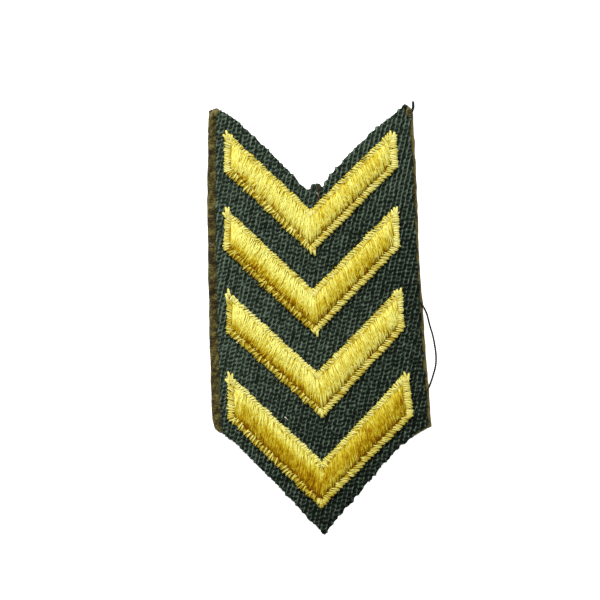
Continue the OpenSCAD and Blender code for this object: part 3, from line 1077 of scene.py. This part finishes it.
def edgingCore(outer, inner, low):
    # a low rounded core under the strands, so that no cloth shows between them; its dark tone is
    # painted shade between them, darkest low down towards its inner edge
    steps, columns = edging["coreSteps"], edging["coreColumns"]
    cut = outer.copy()
    cut[[0, 4]] += (inner - outer)[[0, 4]] * edging["tipCut"]
    t = np.arange(steps) / steps
    outerPath, innerPath = [
        np.concatenate([between(a, b, t) for a, b in zip(ring, np.roll(ring, -1, 0))])
        for ring in (cut, inner)]
    angle, share = halfTurn(columns)
    first, last = np.repeat(edging["cores"], steps, 0).T[..., None]
    first = first + 0.08 * noise(outerPath[:, :1], outerPath[:, 1:], 0.5, 55)
    q = first + (last - first) * share
    xy = outerPath[:, None] + (innerPath - outerPath)[:, None] * q[..., None]
    x, y = xy[..., 0], xy[..., 1]
    grain = noise(x, y, 0.42, 53) + 0.5 * noise(x, y, 0.21, 54)
    high, deep = edging["coreGrain"]
    crown = np.repeat(edging["coreHeights"], steps)[:, None] + high * grain
    crown = low + crown * np.maximum(np.sin(angle), 0) ** 0.7
    tone = np.repeat(edging["coreTones"], steps)[:, None] + deep * grain
    # painted shade: darker on the inner columns, low down
    tone = tone - 0.3 * limit(np.arange(columns) / 2 - 2)
    return solidUnder(xy, crown, low - 0.05, tone, closed=True)


def makeChevron(k, fillFinish, edgingFinish):
    rng = np.random.default_rng(100 + k)
    outer, inner = barCorners(k)
    bar = Bar(k)
    parts = [fillPad(bar), fillStitches(bar, rng), fillFloats(bar, rng)]
    if k == 4:
        parts.append(fillCurls(bar, rng))
    fill = makePiece(f"fill_stitches_{k}", parts, fillFinish)
    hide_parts(f"chevron_fill_{k}")
    sides = zip(*[edgingSide(k, outer, side, rng) for side in range(6)])
    sides = [np.concatenate(values) for values in sides]
    places, apex = np.array(edging["spikes"][k - 1], float), np.array(edging["apex"])
    raised = spikes(fromPhoto(places[:, :2]), fromPhoto(places[:, 2:]), edging["spikeThread"])
    fan = spikes(outer[5] + apex[:, :2], outer[5] + apex[:, 2:], edging["apexThread"])
    band = makePiece(f"edging_stitches_{k}",
                     [edgingCore(outer, inner, bar.low), edgingStrands(*sides, bar, rng),
                      edgingStrands(*raised, bar, rng, lift=0.08), edgingStrands(*fan, bar, rng)],
                     edgingFinish)
    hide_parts(f"chevron_edging_{k}")


threadStops = {
    "gold": [(0.0, (0.23, 0.08, 0.0003)), (1.0, (0.89, 0.86, 0.225)),
             (0.3, (0.44, 0.27, 0.001)), (0.6, (0.66, 0.54, 0.033))],
    "pale": [(0.0, (0.17, 0.065, 0.0005)), (1.0, (0.87, 0.83, 0.29)),
             (0.3, (0.415, 0.28, 0.006)), (0.6, (0.65, 0.56, 0.085))],
}
fillFinish = threadMaterial("fill_thread", threadStops["gold"], 0.42, 0.7, (1.0, 0.85, 0.25))
edgingFinish = threadMaterial("edging_thread", threadStops["pale"], 0.45, 0.6, (1.0, 0.88, 0.35))
for k in range(1, 5):
    makeChevron(k, fillFinish, edgingFinish)
print("chevrons stitched")


# Loose threads, hairs and lint

loose = {
    # the kinds of twisted thread: points along it, the radius of its winding, its pitch and plies
    "kinds": {"loop": (180, 0.12, 0.95, 2), "tail": (24, 0.17, 1.1, 2), "yarn": (16, 0.17, 1.1, 3),
              "tuft": (16, 0.2, 1.3, 3), "lint": (12, 0.065, 3.0, 2), "hair": (20, 0.036, 2.0, 1),
              "fibre": (12, 0.05, 1.0, 2)},
    # fibres along the cut edges: how many, their usual length, their radius and their rise
    "frays": (620, 0.13, 0.045, 0.45), "fuzz": (760, 0.16, 0.022, 0.6), "topHairs": 420,
    "notch": (316, 187), "notchHairs": 26,  # the frayed bottom of the notch, in photo pixels
    # each thread below is its tone and the photo pixels and heights that it passes
    # the loop at the right edge, and the tail at the top right corner
    "loop": (0.2, [(417, 301, 1.7), (421, 303, 1.55), (425, 309, 0.9), (427.5, 315, 0.5),
                   (430, 325, 0.3), (433, 335, 0.22), (435, 345, 0.2), (436.3, 355, 0.2),
                   (436, 365, 0.2), (433.5, 375, 0.2), (430.5, 384, 0.3), (427, 391, 0.7),
                   (423, 396, 1.4), (419, 398, 1.75)]),
    "tail": (0.02, [(410.5, 116, 1.9), (412, 112, 1.75), (413.4, 107, 1.1), (413.2, 101.5, 0.3)]),
    # yarn ends that stand up from the bottom of the notch, and the last yarn at the top right
    "yarns": [
        (0.32, [(312.4, 193, 1.5), (312.0, 188.5, 1.85), (312.8, 185.8, 1.7), (313.8, 185.3, 1.3)]),
        (0.24, [(315.4, 193, 1.5), (315.3, 188.0, 1.75), (315.2, 186.0, 1.6), (314.8, 185.2, 1.2)]),
        (0.36, [(317.8, 193, 1.5), (317.6, 187.5, 1.9), (317.2, 185.2, 1.7), (317.6, 184.6, 1.2)]),
        (0.3, [(320.4, 193, 1.5), (320.6, 188.3, 1.8), (319.6, 185.6, 1.65), (319.0, 185.2, 1.2)]),
        (0.2, [(322.6, 193, 1.5), (322.4, 189.8, 1.7), (322.0, 188.4, 1.5), (321.6, 188.0, 1.2)]),
        (0.25, [(403.0, 108.4, 1.75), (403.9, 106.6, 1.95), (405.9, 106.0, 1.9),
                (407.6, 107.4, 1.6)])],
    # tufts of the felt at the top left, in the notch and at the top right
    "tufts": [
        (0.42, [(212.6, 117, 1.3), (213.2, 114.2, 1.8), (214.2, 112.0, 1.8), (215.2, 111.0, 1.5)]),
        (0.1, [(318.9, 192, 1.6), (319.2, 188.8, 2.15), (318.6, 186.2, 2.1), (317.6, 184.9, 1.6)]),
        (0.55, [(216.4, 116, 1.5), (216.5, 113.6, 2.1), (217.4, 111.6, 2.05), (218.6, 110.6, 1.5)]),
        (0.33, [(408.2, 116, 1.7), (407.9, 112.6, 2.15), (408.4, 109.6, 2.05),
                (408.9, 107.9, 1.6)]),
        (0.33, [(409.9, 117, 1.7), (410.1, 113.4, 2.1), (410.1, 110.8, 2.0), (410.0, 108.9, 1.6)])],
    "fibre": (0.5, [(318.1, 195.4, 2.2), (318.9, 197, 2.45), (319.9, 198.8, 2.5),
                    (321.2, 201, 2.4)]),
    "lint": [
        (0.55, [(236.6, 342.0, 2.15), (237.2, 342.2, 2.3), (237.9, 342.7, 2.3),
                (238.4, 343.2, 2.2)]),
        (0.55, [(285.1, 416.6, 2.15), (286.2, 417.6, 2.3), (287.2, 418.6, 2.3),
                (288, 419.6, 2.15)]),
        (0.02, [(316.4, 193.4, 2.1), (317.6, 193.3, 2.3), (318.3, 194.2, 2.35),
                (318.3, 195.8, 2.3)])],
    "hair": (0.1, [(209.9, 242.6, 1.1), (211.5, 243.9, 1.25), (213.4, 245.2, 1.25),
                   (215, 246, 1.3)]),
    # colours of each thread's darkest and lightest tone, and any between them
    "darkStops": [(0.0, (0.003, 0.005, 0.003)), (1.0, (0.09, 0.115, 0.075)),
                  (0.3, (0.012, 0.018, 0.012)), (0.6, (0.035, 0.048, 0.033))],
    "lintStops": [(0.0, (0.30, 0.28, 0.22)), (1.0, (0.8, 0.78, 0.7))],
    "redStops": [(0.0, (0.05, 0.01, 0.006)), (1.0, (0.29, 0.115, 0.075))],
}


def curved(points, count):
    # a Catmull-Rom curve through photo places and heights
    points = np.array(points, float)
    points = np.column_stack([fromPhoto(points[:, :2]), points[:, 2]])
    p = np.concatenate([2 * points[:1] - points[1:2], points, 2 * points[-1:] - points[-2:-1]])
    u = np.linspace(0, len(points) - 1 - 1e-9, count)
    i = np.floor(u).astype(int)
    t = (u - i)[:, None]
    a, b, c, d = [p[i + k] for k in range(4)]
    return 0.5 * (2 * b + (c - a) * t + (2 * a - 5 * b + 4 * c - d) * t ** 2
                  + (3 * b - a - 3 * c + d) * t ** 3)


def plied(kind, tone, points):
    # strands wound round the curve: centre + radius * (side cos(w) + up sin(w)), one turn a pitch
    count, radius, pitch, plies = loose["kinds"][kind]
    middle = curved(points, count)
    along = unit(np.gradient(middle, axis=0))
    side = unit(np.cross(along, [0.0, 0.0, 1.0]))
    up = np.cross(side, along)
    length = np.pad(np.cumsum(np.linalg.norm(np.diff(middle, axis=0), axis=1)), (1, 0))
    turn = 2 * np.pi * (length[None] / pitch + np.arange(plies)[:, None] / plies)
    path = middle + radius * (side * np.cos(turn)[..., None] + up * np.sin(turn)[..., None])
    part = strands(path, radius * 1.2, radius * 1.2)
    return withValues(part, (plies, count, 6), tone=tone, rise=tone)


def hairs(start, way, length, radius, curl, rng, tone, rise=0.6, droop=0.0):
    # thin strands: start + way * length * t + side * curl * length * sin(1.2 pi t), less
    # droop * t^2 in height, tapering to half their radius
    count, rings = len(start), 5
    t = np.linspace(0, 1, rings)
    side = unit(np.cross(way, rng.normal(0, 1, (count, 3))))
    path = (start[:, None] + way[:, None] * (length[:, None] * t)[..., None]
            + side[:, None] * (curl * length[:, None] * np.sin(np.pi * t * 1.2))[..., None])
    path[..., 2] -= droop * t ** 2
    wide = np.reshape(radius, (-1, 1)) * (1 - 0.5 * t)
    return withValues(strands(path, wide, wide, sides=4), (count, rings, 4), tone=tone, rise=rise)


def alongEdges(edges, count, rng):
    # random places on an outline, evenly by length, and the outward direction at each, which
    # points away from the origin on every side of this patch
    length = np.linalg.norm(edges[:, 1] - edges[:, 0], axis=1)
    pick = rng.choice(len(edges), count, p=length / length.sum())
    t = rng.uniform(0, 1, (count, 1))
    way = unit(edges[pick, 1] - edges[pick, 0])
    place = edges[pick, 0] * (1 - t) + edges[pick, 1] * t
    outward = leftOf(way)
    return place, outward * np.sign((outward * place).sum(1, keepdims=True))


def edgeHairs(name, kind, spread, rng):
    # fibres from the cut edge of a cloth, out and a little up or down, their tones spread by spread
    count, reach, radius, rise = loose[kind]
    tone = rng.normal(0.0, spread, (count, 1, 1))
    levels = nodePoints(name)[:, 2]
    place, outward = alongEdges(outlineEdges(name), count, rng)
    z = rng.uniform(levels.min() + 0.25, levels.max() - 0.2, count)
    start = np.column_stack([place - outward * 0.15, z])
    way = np.column_stack([outward, rng.normal(0, 0.35, count)])
    way = unit(way + rng.normal(0, 0.45, (count, 3)))
    way[:, 2] = np.abs(way[:, 2]) * np.where(z > 0.6, 1, 0.3)
    length = np.minimum(0.15 + rng.exponential(reach, count), 4 * reach)
    radius = rng.uniform(0.7, 1.3, count) * radius
    return hairs(start, unit(way), length, radius, 0.2, rng, tone, rise)


def topHairs(rng):
    # fibres that lie on the felt where it shows past the twill
    count = loose["topHairs"]
    edges, cover = outlineEdges("backing"), outlineEdges("ground_cloth")
    top = nodePoints("backing")[:, 2].max()
    place, outward = alongEdges(edges, 4 * count, rng)
    place = place - outward * rng.uniform(0.1, 2.0, (4 * count, 1))
    left = (place[:, 0] < cover[..., 0].min() + 1.3) & (np.abs(place[:, 1]) < 49)
    clear = edgeDistance(place, cover)
    place = place[left & (clear > 0.1)][:count]
    angle = rng.uniform(0, 2 * np.pi, len(place))
    way = np.column_stack([np.cos(angle), np.sin(angle), rng.uniform(0.0, 0.25, len(place))])
    start = np.column_stack([place, np.full(len(place), top - 0.06)])
    length, radius = rng.uniform(0.3, 1.1, len(place)), rng.uniform(0.014, 0.03, len(place))
    return hairs(start, unit(way), length, radius, 0.3, rng,
                 rng.normal(0.0, 0.2, (len(place), 1, 1)), droop=0.05)


def notchHairs(rng):
    # short hairs that point up out of the bottom of the notch
    count = loose["notchHairs"]
    place = fromPhoto([loose["notch"]])[0] + rng.uniform((-1.1, -0.9), (1.1, -0.2), (count, 2))
    start = np.column_stack([place, rng.uniform(1.3, 1.9, count)])
    way = [rng.normal(0, 0.35, count), np.ones(count), rng.normal(0.1, 0.15, count)]
    length, radius = rng.uniform(0.6, 1.2, count), rng.uniform(0.05, 0.09, count)
    tone = rng.normal(0, 0.12, (count, 1, 1))
    return hairs(start, unit(np.column_stack(way)), length, radius, 0.15, rng, tone, 0.5)


def makeLoose(cloth, wool):
    rng = np.random.default_rng(77)
    dark = threadMaterial("dark_thread", loose["darkStops"], 0.6, 0.0)
    pale = threadMaterial("pale_lint", loose["lintStops"], 0.7, 0.0)
    red = threadMaterial("red_fibre", loose["redStops"], 0.7, 0.0)
    makePiece("loose_loop", [plied("loop", *loose["loop"])], dark)
    makePiece("thread_tail", [plied("tail", *loose["tail"])], dark)
    bits = [plied("lint", *thread) for thread in loose["lint"]]
    makePiece("lint", [*bits, plied("hair", *loose["hair"])], pale)
    makePiece("stray_fibre", [plied("fibre", *loose["fibre"])], red)
    fray = [edgeHairs("ground_cloth", "frays", 0.15, rng), notchHairs(rng)]
    yarns = [plied("yarn", *thread) for thread in loose["yarns"]]
    makePiece("twill_frays", fray + yarns, cloth)
    fuzz = [edgeHairs("backing", "fuzz", 0.2, rng), topHairs(rng)]
    tufts = [plied("tuft", *thread) for thread in loose["tufts"]]
    makePiece("felt_hairs", fuzz + tufts, wool)


makeLoose(twillPiece.data.materials[0], feltPiece.data.materials[0])
print("loose threads and hairs laid")

# flat sizes are the extents of the nodes' outlines
twillSize, feltSize = [np.ptp(outlineEdges(name), axis=(0, 1))
                       for name in ("ground_cloth", "backing")]
